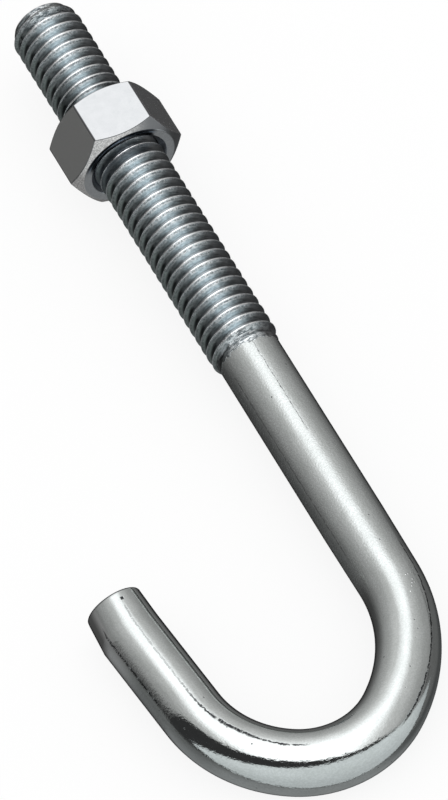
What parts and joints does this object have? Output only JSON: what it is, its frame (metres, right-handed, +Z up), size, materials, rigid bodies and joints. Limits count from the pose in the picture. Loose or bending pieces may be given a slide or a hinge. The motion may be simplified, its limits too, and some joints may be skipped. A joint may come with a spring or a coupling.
{
  "type": "j bolt",
  "caption": "Rod bent round into a J-shaped hook, threaded at its straight end, with a chamfered hex nut that runs along the thread.",
  "frame": {"origin": "on the long leg's axis, where the full thread starts behind the tip's lead-in chamfer", "axes": "+X from the threaded tip towards the hook, +Y from the short leg towards the long one, +Z up from the surface that it lies on"},
  "size_m": [0.1217, 0.044, 0.0142],
  "materials": {
    "bolt_zinc": "bright zinc plate over a rolled and bent rod, satin along the shank, with die marks round the bend",
    "nut_zinc": "bright zinc plate over formed flats, faintly mottled"
  },
  "bodies": {
    "bolt": {"j_bolt": "bolt_zinc"},
    "nut": {"hex_nut": "nut_zinc"}
  },
  "joints": [
    {"name": "nut_travel", "type": "slide", "parent": "bolt", "child": "nut", "axis": [0.9995, 0, -0.0301], "range_m": [-0.02699, 0.03175]}
  ]
}
